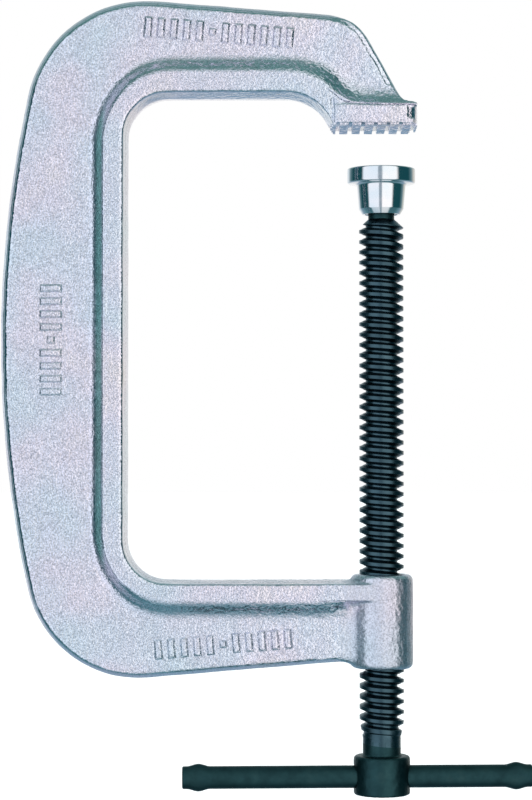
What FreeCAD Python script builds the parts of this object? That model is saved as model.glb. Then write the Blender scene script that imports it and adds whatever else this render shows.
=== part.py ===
import FreeCAD, Part
import os
import Sketcher
from math import acos, cos, radians, sin, sqrt, tan

# A forged C clamp with a 150 mm opening.
# Frame of reference: origin at the centre of the anvil face on the screw axis, +Z up along the
# screw axis, +X away from the spine, +Y through the thickness of the frame. Millimetres.

Vec = FreeCAD.Vector
doc = FreeCAD.newDocument("c_clamp")
dims = doc.addObject("Spreadsheet::Sheet", "Dims")
row_count = 0


def cell(alias, value, note):
    """Add one driving dimension: its name, its value and what it is."""
    global row_count
    row_count += 1
    dims.set(f"A{row_count}", note)
    dims.set(f"B{row_count}", str(value))
    dims.setAlias(f"B{row_count}", alias)


# Frame, all heights are measured from the anvil face and all widths from the screw axis.
cell("web_thickness", 13.0, "web of the T section")
cell("web_edge", 2.5, "rounding of the outer edge of the web")
cell("rim_depth", 24.0, "depth of the rim along the throat")
cell("draft", 6.8, "forging draft in degrees")
cell("blend", 4.4, "blend between rim and web")
cell("nose_blend", 1.0, "blend between anvil block and web")
cell("lug_blend", 4.0, "blend between screw boss and web")
cell("nose_round", 4.0, "corners of the anvil nose")
cell("nose_block", 22.0, "size of the block that rounds those corners")
cell("throat_back", 98.3, "screw axis to the back of the throat")
cell("throat_top", 12.2, "underside of the upper arm")
cell("throat_low", 174.4, "top of the lower arm")
cell("throat_round", 15.5, "throat corner")
cell("anvil_round", 18.5, "curve from the upper arm into the anvil")
cell("rim_arm", 9.1, "rim height along the arms")
cell("rim_spine", 10.5, "rim width along the spine")
cell("anvil_left", 20.7, "anvil edge on the throat side")
cell("anvil_right", 14.2, "anvil edge on the nose side")
cell("anvil_height", 9.8, "height of the anvil block")
cell("tooth_pitch", 4.85, "spacing of the anvil teeth")
cell("tooth_gap", 1.1, "groove between the teeth")
cell("tooth_height", 1.5, "height of the teeth")
cell("face_block_left", 18.7, "screw axis to the left end of the raised anvil face")
cell("face_block_length", 28.3, "length of the raised anvil face")
cell("face_block_depth", 25.2, "depth of the anvil across its raised faces")
cell("face_block_height", 8.3, "height of the raised anvil face")
cell("trim", 80.0, "size of the block that trims the anvil face flat")
cell("lug_radius", 12.15, "screw boss radius")
cell("lug_top", 172.3, "top of the screw boss")
cell("lug_height", 36.4, "height of the screw boss")
cell("lug_round", 2.4, "rounding of the boss rims")

# Screw thread, left hand, one start.
cell("pitch", 4.0, "thread pitch")
cell("crest", 8.6, "thread crest radius")
cell("root", 6.1, "thread root radius")
cell("crest_width", 1.3, "width of the ridge at the crest")
cell("root_width", 3.3, "width of the ridge at the root")
cell("thread_gap", 0.27, "clearance between the two threads")
cell("nut_bore", 6.7, "radius of the boss bore between grooves")
cell("thread_phase", 209.5, "depth at which the ridge crosses +X")

cell("bore_length", 46.0, "length of the boring tool")
cell("mouth_sink", 1.6, "depth of the countersinks")
cell("mouth_wide", 9.1, "radius of the countersinks")
cell("envelope", 8.8, "radius that bounds the thread")
cell("lead_span", 190.4, "length of full thread")
cell("lead_height", 3.4, "length of the thread's lead-in cone")
cell("fade", 6.5, "length over which the thread fades")

# Spindle.
cell("face_gap", 15.0, "anvil face to pad face as drawn")
cell("head_bottom", 257.4, "depth of the bottom of the head")
cell("tilt_centre", 24.5, "anvil face to the tilt centre as drawn")
cell("dome", 5.7, "radius of the rounded nose")
cell("groove_radius", 4.1, "ring groove in the nose")
cell("groove_half", 0.8, "half height of that groove")
cell("dome_latitude", 8.07, "latitude where the dome meets the groove, in degrees")
cell("stem", 1.5, "stem inside the dome above the tilt centre")
cell("neck", 5.05, "neck radius below the pad")
cell("neck_end", 34.3, "depth where the neck ends")
cell("lead_in", 36.6, "depth where the thread starts")
cell("run_out", 229.0, "depth where the thread starts to fade")
cell("shank_start", 233.6, "depth where the plain shank starts")
cell("shank", 7.35, "shank radius")
cell("head_top", 242.3, "depth of the top of the head")
cell("head_height", 15.1, "height of the head")
cell("head_radius", 10.9, "radius of the head")
cell("head_edge", 1.4, "rounding of the head")
cell("cross_depth", 250.5, "depth of the cross hole")
cell("cross_radius", 4.6, "radius of the cross hole")
cell("cross_length", 40.0, "length of the cross hole's tool")
cell("full_turn", 360.0, "a whole turn in degrees")

# Swivel pad, heights measured up from its lower lip.
cell("pad_height", 17.9, "height of the pad")
cell("pad_radius", 13.2, "radius of the pad face")
cell("pad_flange", 5.8, "thickness of the flange")
cell("pad_edge", 0.9, "rounding of the flange")
cell("cup_top", 9.5, "cup radius under the flange")
cell("cup_low", 8.65, "cup radius at the lip")
cell("cup_blend", 0.9, "blend under the flange")
cell("lip_height", 2.2, "height of the lip chamfer")
cell("lip_radius", 7.3, "radius of the lip")
cell("mouth", 6.3, "bore at the lip")
cell("mouth_height", 6.45, "height of the lower bore")
cell("ring_room", 7.15, "radius of the ring groove in the pad")
cell("ring_room_height", 3.9, "height of that groove")
cell("socket", 5.95, "radius of the nose socket")
cell("socket_end", 14.3, "height of the socket floor")

# Retaining ring.
cell("ring_inner", 4.75, "inner radius of the ring")
cell("ring_outer", 6.75, "outer radius of the ring")
cell("ring_thickness", 1.2, "thickness of the ring")
cell("ring_sweep", 336.0, "arc of the open ring in degrees")

# Tommy bar.
cell("bar_radius", 4.35, "radius of the bar")
cell("bar_length", 135.7, "length of the bar")
cell("bar_reach", 58.5, "screw axis to the far end of the bar")
cell("bar_angle", 3.4, "angle of the bar from +X in degrees")
cell("bulge_in", 6.3, "centre of a swaged bulge from the end")
cell("bulge_half", 4.6, "half length of a bulge")
cell("bulge_height", 5.3, "half height of a bulge")
cell("bulge_width", 4.25, "half width of a bulge")
cell("bar_chamfer", 0.5, "chamfer at the bar ends")
doc.recompute()


def size(alias):
    """Read a driving dimension."""
    return float(dims.get(alias))


def bind(item, **links):
    """Tie properties of a document object to cells of the sheet."""
    for prop, formula in links.items():
        item.setExpression(prop, formula)


def place(item, x=0.0, y=0.0, z=0.0, axis=Vec(0, 0, 1), angle=0.0):
    item.Placement = FreeCAD.Placement(Vec(x, y, z), FreeCAD.Rotation(axis, angle))


def rounded_face(corners):
    """A face in the XZ plane from corners (x, z, radius), each corner rounded by its radius."""
    edges = []
    ends = []
    count = len(corners)
    for i in range(count):
        x, z, radius = corners[i]
        here = Vec(x, 0, z)
        before = Vec(corners[i - 1][0], 0, corners[i - 1][1]) - here
        after = Vec(corners[(i + 1) % count][0], 0, corners[(i + 1) % count][1]) - here
        before.normalize()
        after.normalize()
        if radius == 0:
            ends.append((here, here))
            continue
        half = acos(max(-1.0, min(1.0, before.dot(after)))) / 2
        reach = radius / tan(half)
        start = here + before * reach
        end = here + after * reach
        middle = before + after
        middle.normalize()
        top = here + middle * (radius / sin(half) - radius)
        edges.append((i, Part.Arc(start, top, end).toShape()))
        ends.append((start, end))
    wire = []
    arcs = dict(edges)
    for i in range(count):
        if i in arcs:
            wire.append(arcs[i])
        a = ends[i][1]
        b = ends[(i + 1) % count][0]
        if (b - a).Length > 1e-6:
            wire.append(Part.makeLine(a, b))
    return Part.Face(Part.Wire(Part.__sortEdges__(wire)))


def outline(name, corners):
    item = doc.addObject("Part::Feature", name)
    item.Shape = rounded_face(corners)
    return item


def extrusion(name, base, **links):
    item = doc.addObject("Part::Extrusion", name)
    item.Base = base
    item.DirMode = "Custom"
    item.Dir = Vec(0, 1, 0)
    item.Solid = True
    bind(item, **links)
    return item


def fillet(name, base, alias, chosen):
    """Round the edges of base for which chosen(edge) holds."""
    doc.recompute()
    radius = size(alias)
    item = doc.addObject("Part::Fillet", name)
    item.Base = base
    edges = base.Shape.Edges
    item.Edges = [(i + 1, radius, radius) for i in range(len(edges)) if chosen(edges[i])]
    doc.recompute()
    return item


def fuse(name, shapes):
    item = doc.addObject("Part::MultiFuse", name)
    item.Shapes = shapes
    item.Refine = True
    return item


def cut(name, base, tool):
    item = doc.addObject("Part::Cut", name)
    item.Base = base
    item.Tool = tool
    return item


def middle(edge):
    return edge.valueAt((edge.FirstParameter + edge.LastParameter) / 2)


def ridge(name, inner, outer, inner_width, outer_width, start, height):
    """A left hand helical ridge of the screw's pitch with a trapezoid section."""
    path = Part.makeLongHelix(size("pitch"), height, inner, 0, True)
    section = Part.makePolygon(
        [
            Vec(inner, 0, -inner_width / 2),
            Vec(outer, 0, -outer_width / 2),
            Vec(outer, 0, outer_width / 2),
            Vec(inner, 0, inner_width / 2),
            Vec(inner, 0, -inner_width / 2),
        ]
    )
    solid = Part.Wire(path.Edges).makePipeShell([section], True, True)
    item = doc.addObject("Part::Feature", name)
    item.Shape = solid
    place(item, z=start)
    return item


def cylinder(name, radius, height, x=0.0, y=0.0, z=0.0, **turn):
    item = doc.addObject("Part::Cylinder", name)
    bind(item, Radius=radius, Height=height)
    place(item, x, y, z, **turn)
    return item


def cone(name, low, high, height, z):
    item = doc.addObject("Part::Cone", name)
    bind(item, Radius1=low, Radius2=high, Height=height)
    place(item, z=z)
    return item


def box(name, length, width, height, x, y, z):
    item = doc.addObject("Part::Box", name)
    bind(item, Length=length, Width=width, Height=height)
    place(item, x, y, z)
    return item


def shifted(corners, shifts):
    """Move each side of a polygon outward by its own amount and keep the rounded corners parallel.

    Side i runs from corner i to corner i + 1. Corners run anticlockwise in (x, z).
    """
    count = len(corners)
    lines = []
    for i in range(count):
        x0, z0, _ = corners[i]
        x1, z1, _ = corners[(i + 1) % count]
        run = sqrt((x1 - x0) ** 2 + (z1 - z0) ** 2)
        dx, dz = (x1 - x0) / run, (z1 - z0) / run
        lines.append((x0 + dz * shifts[i], z0 - dx * shifts[i], dx, dz))
    moved = []
    for i in range(count):
        ax, az, adx, adz = lines[i - 1]
        bx, bz, bdx, bdz = lines[i]
        turn = adx * bdz - adz * bdx
        along = ((bx - ax) * bdz - (bz - az) * bdx) / turn
        radius = corners[i][2]
        if radius > 0:
            mean = (shifts[i - 1] + shifts[i]) / 2
            radius += mean if turn > 0 else -mean
        moved.append((ax + adx * along, az + adz * along, radius))
    return moved


def origin_plane(body, role):
    return next(f for f in body.Origin.OriginFeatures if f.Role == role)


def number(formula):
    """The value of a formula made of sums and differences of cells."""
    total = 0.0
    for term in formula.replace("-", "+-").split("+"):
        name = term.strip().lstrip("-").removeprefix("Dims.")
        value = 0.0 if name in ("", "0") else size(name)
        total += -value if term.strip().startswith("-") else value
    return total


def profile(body, name, points):
    """A closed sketch on the body's XZ plane. Each point is a pair of cell formulas."""
    sketch = body.newObject("Sketcher::SketchObject", name)
    sketch.AttachmentSupport = [(origin_plane(body, "XZ_Plane"), "")]
    sketch.MapMode = "FlatFace"
    spots = [Vec(number(x), number(z), 0) for x, z in points]
    count = len(points)
    for i in range(count):
        sketch.addGeometry(Part.LineSegment(spots[i], spots[(i + 1) % count]), False)
    for i in range(count):
        sketch.addConstraint(Sketcher.Constraint("Coincident", i, 2, (i + 1) % count, 1))
    for i, (x, z) in enumerate(points):
        hold(sketch, i, x, spots[i].x, "DistanceX", -2)
        hold(sketch, i, z, spots[i].y, "DistanceY", -1)
    return sketch


def hold(sketch, line, formula, value, kind, axis):
    """Hold the start of a line on an axis, or at the distance that a formula gives."""
    if formula == "0":
        sketch.addConstraint(Sketcher.Constraint("PointOnObject", line, 1, axis))
        return
    index = sketch.addConstraint(Sketcher.Constraint(kind, -1, 1, line, 1, value))
    sketch.setExpression(f"Constraints[{index}]", formula)


def turned(name, points, sweep="Dims.full_turn"):
    """A body turned about its own Z axis from a closed profile."""
    body = doc.addObject("PartDesign::Body", name)
    sketch = profile(body, name + "Profile", points)
    item = body.newObject("PartDesign::Revolution", name + "Turned")
    item.Profile = sketch
    item.ReferenceAxis = (sketch, ["V_Axis"])
    bind(item, Angle=sweep)
    body.Tip = item
    doc.recompute()
    return body


def soften(body, name, formula, chosen):
    """Round the edges of the body's last feature for which chosen(edge) holds."""
    base = body.Tip
    edges = base.Shape.Edges
    item = body.newObject("PartDesign::Fillet", name)
    item.Base = (base, [f"Edge{i + 1}" for i in range(len(edges)) if chosen(edges[i])])
    bind(item, Radius=formula)
    body.Tip = item
    doc.recompute()


def circle_at(edge, radius, z):
    """True for a circular edge about Z with this radius and height."""
    spot = middle(edge)
    round_edge = edge.Curve.TypeId == "Part::GeomCircle"
    return round_edge and abs(edge.Curve.Radius - radius) < 0.01 and abs(spot.z - z) < 0.01


# ---------------------------------------------------------------- frame
half_web = size("web_thickness") / 2
half_rim = size("rim_depth") / 2
back = -size("throat_back")
top = size("throat_top")
low = -size("throat_low")
spine = back - size("rim_spine")
arm = size("rim_arm")
right = size("anvil_right")
height = size("anvil_height")


def web_outline():
    """Outside line of the clamp, closed through the middle of the rim and the boss."""
    inside = arm / 2
    corners = [
        (right - 0.3, height + 0.2, 0),
        (8.0, height + 1.5, 6.0),
        (-9.95, 43.84, 20.7),
        (-128.68, 53.41, 46.3),
        (-158.0, -79.84, 442.0),
        (-129.37, -216.2, 44.1),
        (0, -205.1, 0),
        (0, low - inside, 0),
        (spine + 5, low - inside, 20.0),
        (spine + 5, top + inside, 20.0),
        (-30.0, top + inside, 22.0),
        (-16.0, 4.0, 0),
        (right - 1.4, 4.0, 0),
    ]
    return corners


def rim_corners():
    """Outline of the rim and the anvil block at the parting plane, anticlockwise."""
    return [
        (-18.35, -3.0, 0),
        (right, -3.0, 0),
        (right, height - 0.4, 2.5),
        (-15.0, height + 0.6, 8.0),
        (-23.3, top + arm, 27.5),
        (spine, top + arm, 28.0),
        (spine, low - arm, 25.4),
        (0, low - arm, 0),
        (0, low, 0),
        (back, low, size("throat_round")),
        (back, top, size("throat_round")),
        (-25.8, top, size("anvil_round") - 0.1),
    ]


def rim_solid():
    """One half of the rim, drafted on every side and blended into the web, then mirrored."""
    corners = rim_corners()
    nose_share = size("nose_blend") / size("blend")
    blended_sides = {2: nose_share, 3: 1.0, 4: 1.0, 5: 1.0, 6: 1.0}
    blend = size("blend")
    slope = tan(radians(size("draft")))
    heights = [(0.0, blend), (half_web - 0.8, blend)]
    for rise in (-0.06, 0.3, 1.0, 2.0, 3.2, blend):
        reach = blend - sqrt(max(0.0, blend**2 - (blend - max(rise, 0.0)) ** 2))
        heights.append((half_web + rise, reach))
    heights.append((half_rim, 0.0))
    sections = []
    for y, reach in heights:
        shifts = [-y * slope] * len(corners)
        for side, share in blended_sides.items():
            shifts[side] += reach * share
        wire = rounded_face(shifted(corners, shifts)).OuterWire
        wire.translate(Vec(0, y, 0))
        sections.append(wire)
    half = Part.makeLoft(sections, True, True)
    return half.fuse(half.mirror(Vec(0, 0, 0), Vec(0, 1, 0))).removeSplitter()


def on_web_face(edge):
    return abs(abs(middle(edge).y) - half_web) < 1e-3 and edge.BoundBox.YLength < 1e-3


def outer_edge(edge):
    spot = middle(edge)
    outside = spot.x < spine - 8 or spot.z > top + 14 or spot.z < low - 14
    return on_web_face(edge) and (outside or (spot.x > -5 and spot.z > height + 0.5))


def boss_edge(edge):
    spot = middle(edge)
    straight = edge.Curve.TypeId == "Part::GeomLine"
    upright = edge.BoundBox.ZLength > 5 and edge.BoundBox.XLength < 0.1
    return on_web_face(edge) and straight and upright and -11 < spot.x < -9 and spot.z < low


def nose_corner(name, side):
    """The waste left outside the rounded corner of the anvil nose, on one side of the frame."""
    r = size("nose_round")
    x = right - 0.9 - r
    y = side * (half_rim - r)
    block = box(name + "Block", "Dims.nose_block", "Dims.nose_block", "Dims.nose_block", x, y, -6.0)
    if side < 0:
        place(block, x, y - size("nose_block"), -6.0)
    keep = cylinder(name + "Keep", "Dims.nose_round", "Dims.nose_block", x, y, -6.0)
    return cut(name, block, keep)


web_line = outline("WebOutline", web_outline())
web = extrusion("Web", web_line, LengthFwd="Dims.web_thickness")
web.Symmetric = True
web_rounded = fillet("WebRounded", web, "web_edge", outer_edge)

rim = doc.addObject("Part::Feature", "Rim")
rim.Shape = rim_solid()
nose_waste = fuse("NoseWaste", [nose_corner("NoseFront", -1), nose_corner("NoseRear", 1)])
rim_rounded = cut("RimRounded", rim, nose_waste)

boss_bottom = -size("lug_top") - size("lug_height")
boss = cylinder("Boss", "Dims.lug_radius", "Dims.lug_height", z=boss_bottom)
boss_rounded = fillet("BossRounded", boss, "lug_round", lambda edge: edge.BoundBox.ZLength < 1e-6)

face_block = box(
    "FaceBlock",
    "Dims.face_block_length",
    "Dims.face_block_depth",
    "Dims.face_block_height",
    -size("face_block_left"),
    -size("face_block_depth") / 2,
    0.0,
)

forging = fuse("Forging", [web_rounded, rim_rounded, face_block, boss_rounded])
blended = fillet("Blended", forging, "lug_blend", boss_edge)

face_trim = box("FaceTrim", "Dims.trim", "Dims.trim", "Dims.trim", -40.0, -40.0, -size("trim"))
cutters = [face_trim]
gap = size("tooth_gap")
step = size("tooth_pitch")
for i in range(-4, 3):
    x = (i + 0.5) * step - gap / 2
    groove = box(f"GrooveAcross{i + 4}", "Dims.tooth_gap", "Dims.trim", "Dims.tooth_height", x, -40.0, 0.0)
    cutters.append(groove)
for i in range(-3, 3):
    y = (i + 0.5) * step - gap / 2
    groove = box(f"GrooveAlong{i + 3}", "Dims.trim", "Dims.tooth_gap", "Dims.tooth_height", -40.0, y, 0.0)
    cutters.append(groove)

clear = size("thread_gap")
slack = 2 * clear / cos(radians(22))
bore = cylinder("ScrewBore", "Dims.nut_bore", "Dims.bore_length", z=boss_bottom - 5)
sink = size("mouth_sink")
mouth_low = cone("MouthLow", "Dims.mouth_wide", "Dims.nut_bore", "Dims.mouth_sink", boss_bottom - 0.01)
mouth_top = cone(
    "MouthTop", "Dims.nut_bore", "Dims.mouth_wide", "Dims.mouth_sink", 0.01 - sink - size("lug_top")
)
nut_thread = ridge(
    "NutThread",
    size("root"),
    size("crest") + clear,
    size("root_width") + slack,
    size("crest_width") + slack,
    -size("thread_phase") - size("pitch"),
    12 * size("pitch"),
)
screw_hole = fuse("ScrewHole", [bore, nut_thread])
cutters += [screw_hole, mouth_low, mouth_top]
cutter = fuse("FrameCutters", cutters)
frame = cut("frame", blended, cutter)

# ---------------------------------------------------------------- spindle
bottom = "Dims.head_bottom"
core = turned(
    "SpindleCore",
    [
        ("0", "0"),
        ("Dims.head_radius", "0"),
        ("Dims.head_radius", "Dims.head_height"),
        ("Dims.shank", "Dims.head_height"),
        ("Dims.shank", bottom + "-Dims.shank_start"),
        ("Dims.root", bottom + "-Dims.run_out"),
        ("Dims.root", bottom + "-Dims.lead_in"),
        ("Dims.neck", bottom + "-Dims.neck_end"),
        ("Dims.neck", bottom + "-Dims.tilt_centre-Dims.groove_half"),
        ("Dims.groove_radius", bottom + "-Dims.tilt_centre-Dims.groove_half"),
        ("Dims.groove_radius", bottom + "-Dims.tilt_centre+Dims.stem"),
        ("0", bottom + "-Dims.tilt_centre+Dims.stem"),
    ],
)


def head_edge(edge):
    return circle_at(edge, size("head_radius"), 0) or circle_at(
        edge, size("head_radius"), size("head_height")
    )


soften(core, "HeadRounded", "Dims.head_edge", head_edge)
place(core, z=-size("head_bottom"))

dome = doc.addObject("Part::Sphere", "Dome")
bind(dome, Radius="Dims.dome", Angle1="Dims.dome_latitude")
place(dome, z=-size("tilt_centre"))

turns = 50
screw_ridge = ridge(
    "ScrewRidge",
    size("root") - 0.25,
    size("crest"),
    size("root_width") + 0.2,
    size("crest_width"),
    -size("thread_phase") - 6 * size("pitch"),
    turns * size("pitch"),
)
reach_in = -size("lead_in") - 2.0
reach_out = -size("run_out")
envelope = fuse(
    "ThreadEnvelope",
    [
        cylinder("EnvelopeBody", "Dims.envelope", "Dims.lead_span", z=reach_out),
        cone("EnvelopeLead", "Dims.envelope", "Dims.neck", "Dims.lead_height", reach_in),
        cone("EnvelopeFade", "Dims.root", "Dims.envelope", "Dims.fade", reach_out - size("fade")),
    ],
)
thread = doc.addObject("Part::Common", "Thread")
thread.Base = screw_ridge
thread.Tool = envelope
blank = fuse("SpindleBlank", [core, dome, thread])
angle = size("bar_angle")
direction = Vec(cos(radians(angle)), sin(radians(angle)), 0)
cross = doc.addObject("Part::Cylinder", "CrossHole")
bind(cross, Radius="Dims.cross_radius", Height="Dims.cross_length")
cross.Placement = FreeCAD.Placement(
    Vec(0, 0, -size("cross_depth")) - direction * (size("cross_length") / 2),
    FreeCAD.Rotation(Vec(0, 0, 1), direction),
)
spindle = cut("spindle", blank, cross)

# ---------------------------------------------------------------- swivel pad
pad = turned(
    "swivel_pad",
    [
        ("Dims.mouth", "0"),
        ("Dims.lip_radius", "0"),
        ("Dims.cup_low", "Dims.lip_height"),
        ("Dims.cup_top", "Dims.pad_height-Dims.pad_flange"),
        ("Dims.pad_radius", "Dims.pad_height-Dims.pad_flange"),
        ("Dims.pad_radius", "Dims.pad_height"),
        ("0", "Dims.pad_height"),
        ("0", "Dims.socket_end"),
        ("Dims.socket", "Dims.socket_end"),
        ("Dims.socket", "Dims.mouth_height+Dims.ring_room_height"),
        ("Dims.ring_room", "Dims.mouth_height+Dims.ring_room_height"),
        ("Dims.ring_room", "Dims.mouth_height"),
        ("Dims.mouth", "Dims.mouth_height"),
    ],
)


def flange_edge(edge):
    flange_low = size("pad_height") - size("pad_flange")
    on_top = circle_at(edge, size("pad_radius"), size("pad_height"))
    return on_top or circle_at(edge, size("pad_radius"), flange_low)


def cup_edge(edge):
    return circle_at(edge, size("cup_top"), size("pad_height") - size("pad_flange"))


soften(pad, "FlangeRounded", "Dims.pad_edge", flange_edge)
soften(pad, "CupBlended", "Dims.cup_blend", cup_edge)
place(pad, z=-size("face_gap") - size("pad_height"))

# ---------------------------------------------------------------- retaining ring
ring = turned(
    "retaining_ring",
    [
        ("Dims.ring_inner", "0"),
        ("Dims.ring_outer", "0"),
        ("Dims.ring_outer", "Dims.ring_thickness"),
        ("Dims.ring_inner", "Dims.ring_thickness"),
    ],
    sweep="Dims.ring_sweep",
)
place(ring, z=-size("tilt_centre") - size("ring_thickness") / 2, angle=90)

# ---------------------------------------------------------------- tommy bar
bar_core = turned(
    "BarCore",
    [
        ("0", "0"),
        ("Dims.bar_radius-Dims.bar_chamfer", "0"),
        ("Dims.bar_radius", "Dims.bar_chamfer"),
        ("Dims.bar_radius", "Dims.bar_length-Dims.bar_chamfer"),
        ("Dims.bar_radius-Dims.bar_chamfer", "Dims.bar_length"),
        ("0", "Dims.bar_length"),
    ],
)


def bulge(name, along):
    """A pinched swelling, taller than the bar and slightly narrower across it."""
    item = doc.addObject("Part::Ellipsoid", name)
    bind(item, Radius1="Dims.bulge_half", Radius2="Dims.bulge_height", Radius3="Dims.bulge_width")
    place(item, z=along)
    return item


near = bulge("BulgeNear", size("bulge_in"))
far = bulge("BulgeFar", size("bar_length") - size("bulge_in"))
bar = fuse("tommy_bar", [bar_core, near, far])
across = direction.cross(Vec(0, 0, 1))
bar.Placement = FreeCAD.Placement(
    Vec(0, 0, -size("cross_depth")) + direction * (size("bar_reach") - size("bar_length")),
    FreeCAD.Rotation(Vec(0, 0, 1), across, direction, "ZXY"),
)

# ---------------------------------------------------------------- checks and files
doc.recompute()
for item in doc.Objects:
    if "Invalid" in item.State or "Error" in item.State:
        raise RuntimeError(f"{item.Label} did not compute: {item.State}")

pieces = [frame, spindle, pad, ring, bar]
for piece in pieces:
    shape = piece.Shape
    if shape.isNull() or not shape.isValid() or len(shape.Solids) != 1:
        raise RuntimeError(f"{piece.Label} is not one valid solid")

os.makedirs("parts", exist_ok=True)
for piece in pieces:
    piece.Shape.exportStep(f"parts/{piece.Label}.step")
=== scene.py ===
"""A forged C clamp: detailed pieces, materials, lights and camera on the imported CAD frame.

Lengths are in metres. Z runs along the screw, X away from the spine, Y through the frame,
and the origin is the centre of the anvil face.
"""

from math import asin, atan2, cos, pi, radians, sin, sqrt, tan

import bmesh
import bpy
from mathutils import Matrix, Vector, noise


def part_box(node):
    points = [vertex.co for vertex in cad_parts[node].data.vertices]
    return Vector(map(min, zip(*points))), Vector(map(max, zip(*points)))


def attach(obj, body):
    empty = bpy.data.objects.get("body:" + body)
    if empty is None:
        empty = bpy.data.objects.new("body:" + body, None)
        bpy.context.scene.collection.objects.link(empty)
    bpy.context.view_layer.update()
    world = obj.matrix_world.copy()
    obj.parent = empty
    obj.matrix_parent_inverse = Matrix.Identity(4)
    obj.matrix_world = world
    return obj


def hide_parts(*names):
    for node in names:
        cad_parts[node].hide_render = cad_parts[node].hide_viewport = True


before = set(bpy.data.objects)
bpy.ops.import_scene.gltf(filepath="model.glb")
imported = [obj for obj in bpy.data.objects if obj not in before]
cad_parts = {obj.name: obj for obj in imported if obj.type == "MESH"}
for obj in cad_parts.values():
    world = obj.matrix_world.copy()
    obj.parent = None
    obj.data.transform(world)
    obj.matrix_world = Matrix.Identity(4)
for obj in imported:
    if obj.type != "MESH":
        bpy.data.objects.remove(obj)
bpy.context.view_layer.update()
MM = 0.001

# ------------------------------------------------------------------ sizes
pad_low, pad_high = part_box("swivel_pad")
screw_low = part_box("spindle")[0]
ring_low, ring_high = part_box("retaining_ring")

PITCH = 4.0 * MM
CREST = 8.6 * MM
ROOT = 6.1 * MM
CREST_WIDTH = 1.3 * MM
ROOT_WIDTH = 3.3 * MM
THREAD_PHASE = -209.5 * MM  # height where the ridge crosses +X
NECK = 5.05 * MM
NECK_END = -34.3 * MM
STRIP_TOP = NECK_END - 0.4 * MM  # above this the thread's strip hides in the neck
STRIP_UNDER = 0.08 * MM
LEAD_IN = -38.0 * MM  # thread is full below this
FADE_START = -229.0 * MM
FADE_END = -235.5 * MM
SHANK = 7.35 * MM
HEAD_TOP = -242.3 * MM
HEAD_RADIUS = 10.9 * MM
CROSS_HEIGHT = -250.5 * MM
CROSS_RADIUS = 4.6 * MM
CROSS_LENGTH = 40 * MM
TILT_CENTRE = -24.5 * MM
DOME = 5.7 * MM
GROOVE_RADIUS = 4.1 * MM
GROOVE_HALF = 0.8 * MM
BAR_RADIUS = 4.35 * MM
BAR_LENGTH = 135.7 * MM
BAR_REACH = 58.5 * MM
BAR_ANGLE = radians(3.4)
BAR_DIRECTION = Vector((cos(BAR_ANGLE), sin(BAR_ANGLE), 0.0))
BULGE_IN = 6.3 * MM
BULGE_HALF = 4.6 * MM
BULGE_HEIGHT = 5.3 * MM
BULGE_PINCH = 0.35 * MM
BAR_END_ROUND = 0.7 * MM
BAR_PLAIN_START = 11.5 * MM
WEB_HALF = 6.5 * MM
TOOTH_STEP = 4.85 * MM
TOOTH_HEIGHT = 1.5 * MM
TOOTH_HALF = 1.85 * MM
TOOTH_LEAST = 0.8 * MM
TOOTH_ROUND = 0.2 * MM
TEETH_LEFT = -20.0 * MM
TEETH_RIGHT = 13.7 * MM
CORNER_CUT = 1.2 * MM
PAD_FLANGE = 5.8 * MM
CUP_TOP = 9.5 * MM
CUP_LOW = 8.65 * MM
LIP_HEIGHT = 2.2 * MM
LIP_RADIUS = 7.3 * MM
MOUTH = 6.3 * MM
RING_ROOM = 7.15 * MM
RING_ROOM_LOW = 6.45 * MM
RING_ROOM_TOP = 10.35 * MM
SOCKET = 5.95 * MM
SOCKET_END = 14.3 * MM
RING_INNER = 4.75 * MM
RING_HALF = 0.6 * MM
RING_SWEEP = radians(336)
FULL_TRAVEL = 138 * MM


# ------------------------------------------------------------------ mesh helpers
def make_object(name, vertices, faces, smooth=True):
    """A mesh object with outward normals."""
    mesh = bpy.data.meshes.new(name)
    mesh.from_pydata([tuple(v) for v in vertices], [], faces)
    bm = bmesh.new()
    bm.from_mesh(mesh)
    bmesh.ops.remove_doubles(bm, verts=bm.verts, dist=1e-7)
    bmesh.ops.recalc_face_normals(bm, faces=bm.faces)
    bm.to_mesh(mesh)
    bm.free()
    for polygon in mesh.polygons:
        polygon.use_smooth = smooth
    obj = bpy.data.objects.new(name, mesh)
    bpy.context.scene.collection.objects.link(obj)
    return obj


def object_from(bm, name):
    """A linked object made from a bmesh, which is freed."""
    mesh = bpy.data.meshes.new(name)
    bm.to_mesh(mesh)
    bm.free()
    obj = bpy.data.objects.new(name, mesh)
    bpy.context.scene.collection.objects.link(obj)
    return obj


def add_voxels(obj, size):
    """Rebuild the object as one even skin of this cell size when modifiers are applied."""
    remesh = obj.modifiers.new("Voxels", "REMESH")
    remesh.mode = "VOXEL"
    remesh.voxel_size = size


def apply_modifiers(obj):
    """Bake the modifiers into the mesh."""
    graph = bpy.context.evaluated_depsgraph_get()
    mesh = bpy.data.meshes.new_from_object(obj.evaluated_get(graph))
    obj.modifiers.clear()
    old = obj.data
    obj.data = mesh
    bpy.data.meshes.remove(old)


def shade_smooth(obj):
    """Shade the whole object smooth."""
    for polygon in obj.data.polygons:
        polygon.use_smooth = True


def round_corners(points, steps=5):
    """An open line of (x, z, radius) with each inner corner rounded."""
    line = [Vector((points[0][0], points[0][1]))]
    for i in range(1, len(points) - 1):
        here = Vector(points[i][:2])
        before = Vector(points[i - 1][:2]) - here
        after = Vector(points[i + 1][:2]) - here
        radius = points[i][2]
        half = before.angle(after) / 2
        if radius == 0 or half > pi / 2 - 0.01:
            line.append(here)
            continue
        reach = min(radius / tan(half), before.length * 0.49, after.length * 0.49)
        start = here + before.normalized() * reach
        end = here + after.normalized() * reach
        for k in range(steps + 1):
            t = k / steps
            line.append(start * (1 - t) ** 2 + here * 2 * t * (1 - t) + end * t**2)
    line.append(Vector(points[-1][:2]))
    return line


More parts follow.
